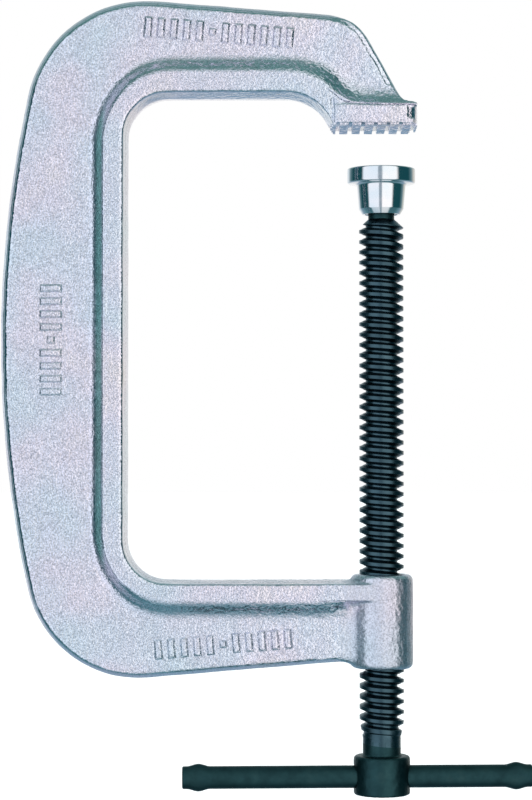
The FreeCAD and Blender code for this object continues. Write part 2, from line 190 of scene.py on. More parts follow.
def lathe(name, line, segments=128):
    """Turn a line of (radius, height) about Z."""
    vertices = []
    faces = []
    rings = []
    for point in line:
        if point[0] < 1e-7:
            rings.append([len(vertices)])
            vertices.append((0, 0, point[1]))
            continue
        rings.append(list(range(len(vertices), len(vertices) + segments)))
        for k in range(segments):
            turn = 2 * pi * k / segments
            vertices.append((point[0] * cos(turn), point[0] * sin(turn), point[1]))
    for a, b in zip(rings, rings[1:]):
        for k in range(segments):
            n = (k + 1) % segments
            quad = [a[k % len(a)], a[n % len(a)], b[n % len(b)], b[k % len(b)]]
            face = list(dict.fromkeys(quad))
            if len(face) > 2:
                faces.append(face)
    return make_object(name, vertices, faces)


def box_mesh(bm, centre, size):
    """Add a box to a bmesh and return its points."""
    made = bmesh.ops.create_cube(bm, size=1.0)["verts"]
    bmesh.ops.scale(bm, verts=made, vec=size)
    bmesh.ops.translate(bm, verts=made, vec=centre)
    return made


def round_edges(bm, points, radius, segments, profile):
    """Round every edge that meets these points and return the new points."""
    edges = list({edge for v in points for edge in v.link_edges})
    return bmesh.ops.bevel(
        bm, geom=edges, offset=radius, segments=segments, profile=profile, affect="EDGES"
    )["verts"]


# ------------------------------------------------------------------ materials
def new_material(name, colour, metallic, roughness):
    """A Principled material. Returns it with its nodes, links and shader."""
    mat = bpy.data.materials.new(name)
    mat.use_nodes = True
    nodes, links = mat.node_tree.nodes, mat.node_tree.links
    shader = nodes["Principled BSDF"]
    shader.inputs["Base Color"].default_value = (*colour, 1)
    shader.inputs["Metallic"].default_value = metallic
    shader.inputs["Roughness"].default_value = roughness
    return mat, nodes, links, shader


def object_point(nodes):
    """Object coordinates, shared by a material's textures."""
    found = nodes.get("Place")
    if found is None:
        found = nodes.new("ShaderNodeTexCoord")
        found.name = "Place"
    return found.outputs["Object"]


def noise_value(nodes, links, scale, detail=2.0, rough=0.5, point=None):
    """Noise between 0 and 1 with about this many lumps to the metre."""
    tex = nodes.new("ShaderNodeTexNoise")
    tex.inputs["Scale"].default_value = scale
    tex.inputs["Detail"].default_value = detail
    tex.inputs["Roughness"].default_value = rough
    links.new(point or object_point(nodes), tex.inputs["Vector"])
    return tex.outputs["Fac"]


def ramp(nodes, links, value, stops):
    """Map a value through colours. stops are (position, colour or grey)."""
    node = nodes.new("ShaderNodeValToRGB")
    elements = node.color_ramp.elements
    while len(elements) < len(stops):
        elements.new(0.5)
    for element, (position, colour) in zip(elements, stops):
        element.position = position
        if isinstance(colour, float):
            colour = (colour, colour, colour)
        element.color = (*colour, 1)
    links.new(value, node.inputs["Fac"])
    return node.outputs["Color"]


def math(nodes, links, kind, a, b):
    """One arithmetic step; each value is a socket or a number."""
    node = nodes.new("ShaderNodeMath")
    node.operation = kind
    for socket, value in zip(node.inputs, (a, b)):
        if isinstance(value, (int, float)):
            socket.default_value = value
        else:
            links.new(value, socket)
    return node.outputs["Value"]


def span(nodes, links, value, start, end):
    """A value that goes from start to end, each given as where and how much."""
    node = nodes.new("ShaderNodeMapRange")
    node.inputs["From Min"].default_value, node.inputs["To Min"].default_value = start
    node.inputs["From Max"].default_value, node.inputs["To Max"].default_value = end
    links.new(value, node.inputs["Value"])
    return node.outputs["Result"]


def mix(nodes, links, kind, factor, a, b):
    """Mix two colours; each is a socket or a tuple."""
    node = nodes.new("ShaderNodeMix")
    node.data_type = "RGBA"
    node.blend_type = kind
    for name, value in (("Factor", factor), ("A", a), ("B", b)):
        socket = next(
            s for s in node.inputs if s.name == name and s.type in ("VALUE", "RGBA")
            and (s.type == "RGBA" or name == "Factor")
        )
        if isinstance(value, tuple):
            socket.default_value = (*value, 1)
        elif isinstance(value, (int, float)):
            socket.default_value = value
        else:
            links.new(value, socket)
    return next(s for s in node.outputs if s.type == "RGBA")


def bump(nodes, links, height, distance, strength=1.0, normal=None):
    """A surface bump of this depth in metres, laid over an earlier one if there is one."""
    node = nodes.new("ShaderNodeBump")
    node.inputs["Distance"].default_value = distance
    if isinstance(strength, (int, float)):
        node.inputs["Strength"].default_value = strength
    else:
        links.new(strength, node.inputs["Strength"])
    links.new(height, node.inputs["Height"])
    if normal is not None:
        links.new(normal, node.inputs["Normal"])
    return node.outputs["Normal"]


SMOOTH_GRAIN = 0.15
FACE_GRAIN = 0.8
GRAIN_DEPTH = 0.32 * MM
PEEL_DEPTH = 0.34 * MM
BOSS_DULL = 0.27
# Colour multiplied onto the spine's step beside the rim: painted shade for the dark band there.
PAINTED_STEP_SHADE = (0.36, 0.70, 0.57)
DEPTH_RANGE = 20.0  # mm from the middle plane that a ramp by depth covers
ZINC_TINTS = [
    (0.28, (0.74, 0.86, 0.95)),
    (0.45, (0.81, 0.86, 0.97)),
    (0.60, (0.89, 0.86, 0.97)),
    (0.75, (0.93, 0.89, 0.91)),
]


def ramp_by_depth(nodes, links, depth, stops):
    """Map the distance from the middle plane. stops are (mm, grey)."""
    scaled = math(nodes, links, "MULTIPLY", depth, 1 / (DEPTH_RANGE * MM))
    return ramp(nodes, links, scaled, [(mm / DEPTH_RANGE, grey) for mm, grey in stops])


def zinc_colour(nodes, links, x, depth):
    """Tinted, speckled zinc, with painted shade darkening the spine's step beside the rim."""
    tint = ramp(nodes, links, noise_value(nodes, links, 30), ZINC_TINTS)
    specks = noise_value(nodes, links, 1500, 2.0, 0.6)
    speckle = ramp(nodes, links, specks, [(0.36, 0.66), (0.58, 1.0)])
    plated = mix(nodes, links, "MULTIPLY", 1.0, tint, speckle)
    # Painted shade: the step beside the rim on the spine is darkened in the colour, not by light.
    on_slope = ramp_by_depth(
        nodes, links, depth, [(7.2, 0.0), (8.4, 1.0), (11.1, 1.0), (11.7, 0.0)]
    )
    on_spine = span(nodes, links, x, (-108.5 * MM, 1.0), (-106.0 * MM, 0.0))
    painted_shade = math(nodes, links, "MULTIPLY", on_slope, on_spine)
    return mix(nodes, links, "MULTIPLY", painted_shade, plated, PAINTED_STEP_SHADE)


def zinc_roughness(nodes, links, x, z, on_face):
    """Duller on the flat faces than on the slopes, and dullest on the screw boss."""
    patches = noise_value(nodes, links, 900)
    shine = ramp(nodes, links, patches, [(0.3, 0.18), (0.7, 0.29)])
    low = span(nodes, links, z, (-176 * MM, 1.0), (-168 * MM, 0.0))
    right = span(nodes, links, x, (-16.5 * MM, 0.0), (-12.5 * MM, 1.0))
    on_boss = math(nodes, links, "MULTIPLY", low, right)
    dull = math(nodes, links, "MULTIPLY", on_boss, BOSS_DULL)
    keep = math(nodes, links, "ADD", math(nodes, links, "MULTIPLY", on_face, 0.5), 0.55)
    return math(nodes, links, "ADD", math(nodes, links, "MULTIPLY", shine, keep), dull)


def zinc_forging():
    """Zinc plate over shot-blasted forging scale: fine grain, faint rainbow tints."""
    mat, nodes, links, shader = new_material("zinc_forging", (0.7, 0.73, 0.82), 1.0, 0.4)
    split = nodes.new("ShaderNodeSeparateXYZ")
    links.new(object_point(nodes), split.inputs["Vector"])
    x, y, z = (split.outputs[axis] for axis in "XYZ")
    depth = math(nodes, links, "ABSOLUTE", y, 0.0)
    on_face = ramp_by_depth(
        nodes,
        links,
        depth,
        [
            (6.00, SMOOTH_GRAIN),
            (6.24, FACE_GRAIN),
            (7.32, FACE_GRAIN),
            (7.72, SMOOTH_GRAIN),
            (11.20, SMOOTH_GRAIN),
            (11.64, FACE_GRAIN),
        ],
    )
    links.new(zinc_colour(nodes, links, x, depth), shader.inputs["Base Color"])
    links.new(zinc_roughness(nodes, links, x, z, on_face), shader.inputs["Roughness"])
    grain = bump(nodes, links, noise_value(nodes, links, 1350, 1.5), GRAIN_DEPTH, on_face)
    towards_nose = span(nodes, links, x, (-80 * MM, 0.35), (-30 * MM, 1.0))
    peel = noise_value(nodes, links, 520, 1.0)
    links.new(bump(nodes, links, peel, PEEL_DEPTH, towards_nose, grain), shader.inputs["Normal"])
    return mat


OXIDE_TINTS = [
    (0.3, (0.018, 0.050, 0.056)),
    (0.55, (0.025, 0.070, 0.077)),
    (0.8, (0.037, 0.086, 0.090)),
]
THREAD_TINTS = [
    (0.3, (0.046, 0.086, 0.106)),
    (0.55, (0.062, 0.118, 0.146)),
    (0.8, (0.086, 0.150, 0.178)),
]


def black_oxide(name, shine, tints):
    """Oiled black oxide on steel: dark teal, with soft blotches and a fine grain."""
    mat, nodes, links, shader = new_material(name, (0.03, 0.09, 0.10), 1.0, 0.3)
    tint = ramp(nodes, links, noise_value(nodes, links, 120, 4.0, 0.6), tints)
    links.new(tint, shader.inputs["Base Color"])
    patches = noise_value(nodes, links, 400, 3.0)
    roughness = ramp(nodes, links, patches, [(0.3, shine), (0.7, shine + 0.14)])
    links.new(roughness, shader.inputs["Roughness"])
    fine = noise_value(nodes, links, 1500)
    links.new(bump(nodes, links, fine, 0.03 * MM, 0.6), shader.inputs["Normal"])
    return mat


def bright_zinc():
    """Bright zinc on a turned part: near mirror, with faint tool marks round the axis."""
    mat, nodes, links, shader = new_material("bright_zinc", (0.74, 0.79, 0.83), 1.0, 0.1)
    stretch = nodes.new("ShaderNodeMapping")
    stretch.inputs["Scale"].default_value = (60, 60, 5000)
    links.new(object_point(nodes), stretch.inputs["Vector"])
    rings = noise_value(nodes, links, 1.0, point=stretch.outputs["Vector"])
    links.new(bump(nodes, links, rings, 0.01 * MM, 0.5), shader.inputs["Normal"])
    clouds = noise_value(nodes, links, 150)
    tint = ramp(nodes, links, clouds, [(0.35, (0.72, 0.79, 0.83)), (0.65, (0.83, 0.83, 0.85))])
    links.new(tint, shader.inputs["Base Color"])
    roughness = ramp(nodes, links, noise_value(nodes, links, 500), [(0.3, 0.07), (0.7, 0.14)])
    links.new(roughness, shader.inputs["Roughness"])
    return mat


def spring_steel():
    """Plain grey spring steel, a little uneven."""
    mat, nodes, links, shader = new_material("spring_steel", (0.35, 0.35, 0.37), 1.0, 0.35)
    tint = ramp(nodes, links, noise_value(nodes, links, 300), [(0.3, 0.28), (0.7, 0.42)])
    links.new(tint, shader.inputs["Base Color"])
    return mat


def paper_floor():
    """Matt white paper."""
    mat, nodes, links, shader = new_material("paper_floor", (0.9, 0.9, 0.9), 0.0, 0.9)
    tint = ramp(nodes, links, noise_value(nodes, links, 30, 3.0), [(0.3, 0.88), (0.7, 0.90)])
    links.new(tint, shader.inputs["Base Color"])
    return mat


# ------------------------------------------------------------------ forging
MARKS = (
    # centre (x, z), direction along the row, strokes in each group, stroke height
    ((-62.9 * MM, 37.3 * MM), (0.9968, -0.0802), (5, 6), 6.6 * MM),
    ((-61.2 * MM, -199.0 * MM), (0.9966, 0.0820), (5, 5), 6.2 * MM),
    ((-127.9 * MM, -81.8 * MM), (0.0, 1.0), (4, 4), 7.0 * MM),
)
STROKE_WIDTH = 1.5 * MM
STROKE_STEP = 5.0 * MM
MARK_RISE = 0.75 * MM
MARK_ROOT = 0.45 * MM
MARK_SLOPE = 1.1
MARK_ROUND = 0.22 * MM


def raised_stroke(bm, centre, turn, wide, tall):
    """A flat-topped stroke with sloping sides that grows out of the web."""
    made = box_mesh(bm, (0, 0, 0), (wide, MARK_RISE + MARK_ROOT, tall))
    flare = MARK_SLOPE * (MARK_RISE + MARK_ROOT)
    for v in made:
        if v.co.y > 0:
            v.co.x += flare if v.co.x > 0 else -flare
            v.co.z += flare if v.co.z > 0 else -flare
    made = round_edges(bm, made, MARK_ROUND, 3, 0.5)
    bmesh.ops.rotate(bm, verts=made, cent=(0, 0, 0), matrix=Matrix.Rotation(turn, 3, "Y"))
    middle = -WEB_HALF + (MARK_ROOT - MARK_RISE) / 2
    bmesh.ops.translate(bm, verts=made, vec=(centre[0], middle, centre[1]))


def forging_marks():
    """Plain raised strokes and a dot, in rows, where the forging is marked."""
    bm = bmesh.new()
    for (cx, cz), (dx, dz), groups, height in MARKS:
        turn = -atan2(dz, dx)
        count = sum(groups) + 1
        for k in range(count):
            along = (k - (count - 1) / 2) * STROKE_STEP
            tall = STROKE_WIDTH if k == groups[0] else height
            place = (cx + dx * along, cz + dz * along)
            raised_stroke(bm, place, turn, STROKE_WIDTH, tall)
    obj = object_from(bm, "forging_marks")
    shade_smooth(obj)
    return obj


def smooth_step(low, high, value):
    """0 at low, 1 at high and an S-shaped curve between them; low may be the larger."""
    t = min(1.0, max(0.0, (value - low) / (high - low)))
    return t * t * (3 - 2 * t)


def edge_softness(point):
    """How far edges are rounded: little on the anvil block, fully elsewhere."""
    from_nose = smooth_step(-30 * MM, -20 * MM, point.x) * smooth_step(18 * MM, 12 * MM, point.z)
    return 1.0 - 0.75 * from_nose


def add_smoothing(obj, name, weight, times):
    """A smoothing pass that acts on each point by weight(point), in steps of a tenth."""
    group = obj.vertex_groups.new(name=name)
    levels = {}
    for v in obj.data.vertices:
        levels.setdefault(round(weight(v.co) * 10), []).append(v.index)
    for level, indices in levels.items():
        if level:
            group.add(indices, level / 10, "REPLACE")
    soften = obj.modifiers.new(name, "SMOOTH")
    soften.factor = 0.5
    soften.iterations = times
    soften.vertex_group = name


# The front edge of the rim is a rounded rectangle that a slanted line cuts off near the anvil.
RIM_CENTRE = (-23.6 * MM, -80.55 * MM)
RIM_HALF = (83.6 * MM, 101.15 * MM)
RIM_CORNER = 26.5 * MM
SLANT_PLACE = (-22.6 * MM, 20.4 * MM)
SLANT_FACING = (0.796, 0.606)
SLANT_BLEND = 14 * MM
ANVIL_TOP = 8.8 * MM
ANVIL_LEFT = -21 * MM
ANVIL_BLEND = 6 * MM
# The step from the web up to the rim.
STEP_RISE = 5.5 * MM
SPINE_STEP = 5.8 * MM
ARM_STEP = 9.0 * MM
STEP_INSIDE = 1.2 * MM
WEB_SLACK = 0.8 * MM
LEAST_RISE = 0.05 * MM
LEAST_FACING = 0.25
# The crease at the left end of the anvil's faces, and the web's draft.
GROOVE_PLACE = -19.0 * MM
GROOVE_REACH = 0.9 * MM
GROOVE_DEPTH = 1.4 * MM
GROOVE_TOP = 11 * MM
WEB_CENTRE = (-50 * MM, -85 * MM)
WEB_DRAFT = radians(20)


# A block that fills the grooves between the CAD teeth, which have their own Blender piece.
FILL_LOW = Vector((-18.2 * MM, -12.2 * MM, 0.05 * MM))
FILL_HIGH = Vector((12.0 * MM, 12.2 * MM, 3.0 * MM))


def forging_skin():
    """The forging as one dense, slightly uneven skin over the CAD shape, cut off at the teeth."""
    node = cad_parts["frame"]
    bm = bmesh.new()
    bm.from_mesh(node.data)
    box_mesh(bm, (FILL_LOW + FILL_HIGH) / 2, FILL_HIGH - FILL_LOW)
    obj = object_from(bm, "forging")
    add_voxels(obj, 0.5 * MM)
    apply_modifiers(obj)
    add_smoothing(obj, "Edges", edge_softness, 30)
    apply_modifiers(obj)
    push_out(obj.data, forged_wave)
    push_out(obj.data, web_draft)
    move_points(obj.data, on_step)
    push_out(obj.data, anvil_groove)
    trim_below(obj.data, TOOTH_HEIGHT)
    shade_smooth(obj)
    return obj


def move_points(mesh, moved):
    """Replace every point by moved(point, normal). Normals are copied before any point moves."""
    normals = [v.normal.copy() for v in mesh.vertices]
    points = [v.co.copy() for v in mesh.vertices]
    flat = []
    for point, normal in zip(points, normals):
        flat.extend(moved(point, normal))
    mesh.vertices.foreach_set("co", flat)
    mesh.update()


def push_out(mesh, height):
    """Move every point along its normal by height(point, normal), which may be negative."""
    move_points(mesh, lambda point, normal: point + normal * height(point, normal))


def forged_wave(point, normal):
    """The forging's gentle unevenness."""
    slow = noise.noise(point * 90) * 0.16
    quick = noise.noise(point * 260 + Vector((7, 3, 1))) * 0.05
    return (slow + quick) * MM


def smooth_min(a, b, reach):
    """The smaller of two distances, rounded where they cross."""
    t = max(0.0, reach - abs(a - b)) / reach
    return min(a, b) - t * t * reach / 4


def from_rim(x, z):
    """Distance outward from the front edge of the rim and the anvil block, seen from the front."""
    dx = abs(x - RIM_CENTRE[0]) - RIM_HALF[0] + RIM_CORNER
    dz = abs(z - RIM_CENTRE[1]) - RIM_HALF[1] + RIM_CORNER
    rim = sqrt(max(dx, 0) ** 2 + max(dz, 0) ** 2) + min(max(dx, dz), 0) - RIM_CORNER
    slant = (x - SLANT_PLACE[0]) * SLANT_FACING[0] + (z - SLANT_PLACE[1]) * SLANT_FACING[1]
    rim = -smooth_min(-rim, -slant, SLANT_BLEND)
    if z < RIM_CENTRE[1]:
        return rim
    anvil = max(z - ANVIL_TOP, ANVIL_LEFT - x)
    return smooth_min(rim, anvil, ANVIL_BLEND)


def step_height(point):
    """How far the surface stands proud of the web at this place beside the rim."""
    x, z = point.x, point.z
    on_arm = smooth_step(-112 * MM, -92 * MM, x)
    distance = from_rim(x, z)
    if distance < -STEP_INSIDE:
        return 0.0
    width = SPINE_STEP + (ARM_STEP - SPINE_STEP) * on_arm
    away = min(1.0, max(0.0, distance / width))
    nose = smooth_step(-24 * MM, -14 * MM, x) * smooth_step(30 * MM, 20 * MM, z)
    steep = (1 - away) ** 2 * (1 + 0.6 * (1 - nose) * away)
    soft = smooth_step(0, 1, (1 - away) ** 1.2)
    profile = steep + (soft - steep) * on_arm * (1 - nose)
    beside_boss = smooth_step(-160 * MM, -150 * MM, z) + smooth_step(-10.5 * MM, -15 * MM, x)
    return STEP_RISE * profile * min(1.0, beside_boss)


def on_step(point, normal):
    """The place of a point once the step between web and rim has its wide blend."""
    depth = abs(point.y)
    if depth < WEB_HALF - WEB_SLACK or abs(normal.y) < LEAST_FACING:
        return point
    rise = step_height(point)
    if rise < max(LEAST_RISE, depth - WEB_HALF):
        return point
    return Vector((point.x, WEB_HALF + rise if point.y > 0 else -WEB_HALF - rise, point.z))


def anvil_groove(point, normal):
    """The crease at the left end of the anvil's two faces."""
    beside = abs(point.y) < 10 * MM or abs(normal.y) < 0.6
    if beside or point.z > GROOVE_TOP or point.z < 0:
        return 0.0
    return -GROOVE_DEPTH * smooth_step(GROOVE_REACH, 0, abs(point.x - GROOVE_PLACE))


def web_draft(point, normal):
    """Draft on the outer side of the web, from its middle to both of its faces."""
    x, z = point.x, point.z
    outward = normal.x * (x - WEB_CENTRE[0]) + normal.z * (z - WEB_CENTRE[1])
    if outward < 0 or abs(point.y) > WEB_HALF:
        return 0.0
    from_boss = max(
        smooth_step(-13 * MM, -20 * MM, x),
        smooth_step(-150 * MM, -140 * MM, z),
    )
    from_anvil = max(
        smooth_step(-22 * MM, -30 * MM, x),
        smooth_step(13 * MM, 18 * MM, z),
        smooth_step(-10 * MM, -20 * MM, z),
    )
    side = sqrt(normal.x**2 + normal.z**2)
    steep = 1 - 0.75 * smooth_step(0.0, 0.6, normal.x)
    inward = tan(WEB_DRAFT) * steep * abs(point.y) - (0.15 + 0.45 * normal.z) * MM
    return -inward * side * from_boss * from_anvil


def trim_below(mesh, height):
    """Cut the anvil off flat at this height, where the teeth take over."""
    bm = bmesh.new()
    bm.from_mesh(mesh)
    near = [item for item in list(bm.verts) + list(bm.edges) + list(bm.faces) if in_anvil(item)]
    made = bmesh.ops.bisect_plane(
        bm, geom=near, plane_co=(0, 0, height), plane_no=(0, 0, -1), clear_outer=True
    )
    rim = [item for item in made["geom_cut"] if isinstance(item, bmesh.types.BMEdge)]
    bmesh.ops.contextual_create(bm, geom=rim)
    bm.to_mesh(mesh)
    bm.free()


def in_anvil(item):
    """True for a mesh element whose points are all near the anvil's face."""
    corners = [item] if isinstance(item, bmesh.types.BMVert) else item.verts
    return all(-24 * MM < v.co.x and -1 * MM < v.co.z < 5 * MM for v in corners)


def anvil_teeth():
    """The grid of blunt teeth under the anvil, clipped to the block's outline."""
    bm = bmesh.new()
    for i in range(-4, 4):
        for j in range(-2, 3):
            inward = CORNER_CUT * abs(j)
            left = TEETH_LEFT + 0.5 * inward
            right = TEETH_RIGHT - (inward if abs(j) == 2 else 0.0)
            x0 = max(i * TOOTH_STEP - TOOTH_HALF, left)
            x1 = min(i * TOOTH_STEP + TOOTH_HALF, right)
            if x1 - x0 > TOOTH_LEAST:
                add_tooth(bm, x0, x1, j * TOOTH_STEP - TOOTH_HALF, j * TOOTH_STEP + TOOTH_HALF)
    return object_from(bm, "anvil_teeth")


def add_tooth(bm, x0, x1, y0, y1):
    """One tooth, a little narrower at its tip, slightly slanted and uneven."""
    seed = Vector((x0, y0, 0)) * 900
    tip = (0.05 + 0.25 * abs(noise.noise(seed))) * MM
    centre = ((x0 + x1) / 2, (y0 + y1) / 2, (tip + TOOTH_HEIGHT) / 2)
    made = box_mesh(bm, centre, (x1 - x0, y1 - y0, TOOTH_HEIGHT - tip + 0.5 * MM))
    for v in made:
        if v.co.z < centre[2]:
            v.co.x += (centre[0] - v.co.x) * 0.14
            v.co.y += (centre[1] - v.co.y) * 0.2
            facing = (centre[1] - v.co.y) * (0.34 + 0.16 * noise.noise(seed * 2.3))
            v.co.z = tip + max(0.0, facing) + (v.co.x - centre[0]) * 0.12 * noise.noise(seed * 1.7)
    round_edges(bm, made, TOOTH_ROUND, 2, 0.6)


# ------------------------------------------------------------------ spindle
def thread_radius(u):
    """Radius across one pitch, u from 0 to 1 with the ridge's crest in the middle."""
    away = abs(u - 0.5) * PITCH
    crest, root = CREST_WIDTH / 2, ROOT_WIDTH / 2
    if away < crest:
        return CREST
    if away > root:
        return ROOT
    t = (away - crest) / (root - crest)
    eased = t + 0.16 * sin(2 * pi * t) / 2
    return CREST + (ROOT - CREST) * eased


def thread_limits(z):
    """Smallest and largest radius the screw has at a height."""
    if z > STRIP_TOP:
        return NECK - STRIP_UNDER, NECK - 0.75 * STRIP_UNDER
    widest = CREST
    least = ROOT
    if z > LEAD_IN:
        t = (z - LEAD_IN) / (STRIP_TOP - LEAD_IN)
        widest = CREST + (NECK - CREST) * t
        least = ROOT + (NECK - STRIP_UNDER - ROOT) * t
    if z < FADE_START:
        t = min(1.0, (FADE_START - z) / (FADE_START - FADE_END))
        least = ROOT + (SHANK - ROOT) * smooth_step(0, 1, t)
        widest = CREST + (SHANK - CREST) * t
    return least, max(least, widest)


def screw_thread():
    """The left-hand thread as one helical strip: columns across a pitch, rows round the turns."""
    per_turn = 96
    # Columns crowd where the ridge's side meets the root and the crest.
    half = [0, 0.045, 0.0875, 0.11, 0.14, 0.19, 0.25, 0.31, 0.335, 0.35, 0.40]
    columns = half + [0.5] + [1 - c for c in reversed(half[1:])]
    top, bottom = -33.2 * MM, -239.0 * MM
    turns = int((top - bottom) / PITCH)
    start = THREAD_PHASE + round((top - THREAD_PHASE) / PITCH) * PITCH
    vertices = []
    rows = turns * per_turn + 1
    for i in range(rows):
        turn = 2 * pi * i / per_turn
        for u in columns:
            z = start - PITCH * (turn / (2 * pi) + (u - 0.5))
            least, widest = thread_limits(z)
            r = min(max(thread_radius(u), least), widest)
            vertices.append((r * cos(turn), r * sin(turn), z))
    across = len(columns)
    faces = []
    for i in range(rows - 1):
        for j in range(across - 1):
            a = i * across + j
            faces.append((a, a + 1, a + across + 1, a + across))
        if i + per_turn < rows - 1:
            a = i * across + across - 1
            b = (i + per_turn) * across
            faces.append((a, b, b + across, a + across))
    return make_object("spindle_thread", vertices, faces)


def spindle_nose():
    """Neck, ring groove and rounded nose."""
    line = [(0, NECK_END - 3 * MM, 0), (NECK - 0.4 * MM, NECK_END - 3 * MM, 0)]
    line += [(NECK, NECK_END - 0.5 * MM, 0.2 * MM)]
    low = TILT_CENTRE - GROOVE_HALF
    line += [(NECK, low, 0.15 * MM), (GROOVE_RADIUS, low, 0.1 * MM)]
    high = TILT_CENTRE + GROOVE_HALF
    line += [(GROOVE_RADIUS, high, 0.1 * MM)]
    start = asin(GROOVE_HALF / DOME)
    points = round_corners(line + [(DOME * cos(start), high, 0)])
    for k in range(1, 17):
        lat = start + (pi / 2 - start) * k / 16
        points.append(Vector((DOME * cos(lat), TILT_CENTRE + DOME * sin(lat))))
    return lathe("spindle_nose", points, 96)


def spindle_head():
    """Plain shank and head with its cross hole, as one softened piece."""
    bottom = screw_low.z
    line = round_corners(
        [
            (0, FADE_END - 0.2 * MM, 0),
            (SHANK, FADE_END - 0.2 * MM, 0.3 * MM),
            (SHANK, HEAD_TOP, 0.9 * MM),
            (HEAD_RADIUS, HEAD_TOP, 1.5 * MM),
            (HEAD_RADIUS, bottom + 0.1 * MM, 1.1 * MM),
            (0, bottom + 0.1 * MM, 0),
        ]
    )
    obj = lathe("spindle_head", line, 128)
    bm = bmesh.new()
    bmesh.ops.create_cone(
        bm,
        cap_ends=True,
        segments=96,
        radius1=CROSS_RADIUS,
        radius2=CROSS_RADIUS,
        depth=CROSS_LENGTH,
        matrix=BAR_DIRECTION.to_track_quat("Z", "Y").to_matrix().to_4x4(),
    )
    bmesh.ops.translate(bm, verts=bm.verts, vec=(0, 0, CROSS_HEIGHT))
    tool = object_from(bm, "cross_tool")
    drill = obj.modifiers.new("Drill", "BOOLEAN")
    drill.object = tool
    drill.operation = "DIFFERENCE"
    drill.solver = "EXACT"
    add_voxels(obj, 0.25 * MM)
    soften = obj.modifiers.new("Soften", "SMOOTH")
    soften.factor = 0.5
    soften.iterations = 4
    apply_modifiers(obj)
    bpy.data.objects.remove(tool)
    push_out(obj.data, headed_dent)
    shade_smooth(obj)
    return obj


def headed_dent(point, normal):
    """Small dents on the cold-headed end of the screw."""
    if point.z > HEAD_TOP + 1 * MM:
        return 0.0
    return (noise.noise(point * 420) * 0.07 + noise.noise(point * 900) * 0.03) * MM


# ------------------------------------------------------------------ pad, ring and bar
def swivel_pad():
    """The turned cup with its flange, lip, ring groove and socket."""
    top, low = pad_high.z, pad_low.z
    radius = (pad_high.x - pad_low.x) / 2
    flange = top - PAD_FLANGE
    line = [
        (0, top - 0.05 * MM, 0),
        (radius, top - 0.05 * MM, 0.7 * MM),
        (radius, flange, 0.8 * MM),
        (CUP_TOP, flange - 0.3 * MM, 1.0 * MM),
        (CUP_LOW, low + LIP_HEIGHT, 0.6 * MM),
        (LIP_RADIUS, low, 0.3 * MM),
        (MOUTH + 0.05 * MM, low, 0.2 * MM),
        (MOUTH, low + RING_ROOM_LOW, 0.1 * MM),
        (RING_ROOM, low + RING_ROOM_LOW, 0.2 * MM),
        (RING_ROOM, low + RING_ROOM_TOP, 0.2 * MM),
        (SOCKET, low + RING_ROOM_TOP, 0.1 * MM),
        (SOCKET, low + SOCKET_END, 0.5 * MM),
        (0, low + SOCKET_END, 0),
    ]
    return lathe("pad_cup", round_corners(line), 192)


def snap_ring():
    """The open ring that holds the pad on the nose."""
    outer = (ring_high.x - ring_low.x) / 2
    section = round_corners(
        [
            (RING_INNER, 0, 0),
            (RING_INNER, RING_HALF, 0.15 * MM),
            (outer, RING_HALF, 0.2 * MM),
            (outer, -RING_HALF, 0.2 * MM),
            (RING_INNER, -RING_HALF, 0.15 * MM),
            (RING_INNER, 0, 0),
        ],
        3,
    )[:-1]
    steps = 72
    count = len(section)
    vertices = []
    for k in range(steps + 1):
        turn = pi / 2 + RING_SWEEP * k / steps
        for p in section:
            vertices.append((p[0] * cos(turn), p[0] * sin(turn), TILT_CENTRE + p[1]))
    faces = []
    for k in range(steps):
        for j in range(count):
            n = (j + 1) % count
            faces.append(
                (k * count + j, k * count + n, (k + 1) * count + n, (k + 1) * count + j)
            )
    faces.append(tuple(range(count)))
    faces.append(tuple(steps * count + j for j in reversed(range(count))))
    return make_object("snap_ring", vertices, faces)


def bar_section(t):
    """Half height and half width of the bar at a distance from its near end."""
    tall = wide = BAR_RADIUS
    for centre in (BULGE_IN, BAR_LENGTH - BULGE_IN):
        away = abs(t - centre) / BULGE_HALF
        if away < 1:
            swell = cos(away * pi / 2) ** 2
            tall += (BULGE_HEIGHT - BAR_RADIUS) * swell
            wide -= BULGE_PINCH * swell
    edge = min(t, BAR_LENGTH - t)
    if edge < BAR_END_ROUND:
        cut = BAR_END_ROUND - sqrt(max(0.0, BAR_END_ROUND**2 - (BAR_END_ROUND - edge) ** 2))
        tall -= cut
        wide -= cut
    return tall, wide


def tommy_bar():
    """The bar with its pinched swellings."""
    swollen = BAR_PLAIN_START - BAR_END_ROUND
    plain = BAR_LENGTH - 2 * BAR_PLAIN_START
    stations = [BAR_END_ROUND * k / 5 for k in range(5)]
    stations += [BAR_END_ROUND + swollen * k / 30 for k in range(31)]
    middle = [BAR_PLAIN_START + plain * k / 24 for k in range(1, 24)]
    stations += middle + [BAR_LENGTH - s for s in reversed(stations)]
    around = 64
    base = Vector((0, 0, CROSS_HEIGHT)) + BAR_DIRECTION * (BAR_REACH - BAR_LENGTH)
    side = BAR_DIRECTION.cross(Vector((0, 0, 1)))
    vertices = []
    for t in stations:
        tall, wide = bar_section(t)
        for k in range(around):
            a = 2 * pi * k / around
            wobble = 1 + 0.004 * noise.noise(Vector((t * 300, a, 0)))
            vertices.append(
                base
                + BAR_DIRECTION * t
                + Vector((0, 0, tall * sin(a) * wobble))
                + side * (wide * cos(a) * wobble)
            )
    faces = []
    for i in range(len(stations) - 1):
        for k in range(around):
            n = (k + 1) % around
            faces.append(
                (i * around + k, i * around + n, (i + 1) * around + n, (i + 1) * around + k)
            )
    last = (len(stations) - 1) * around
    for first, inward in ((0, 0.25 * MM), (last, -0.25 * MM)):
        centre = len(vertices)
        end = stations[0] if first == 0 else stations[-1]
        vertices.append(base + BAR_DIRECTION * (end + inward))
        for k in range(around):
            faces.append((first + k, first + (k + 1) % around, centre))
    return make_object("tommy_bar_piece", vertices, faces)


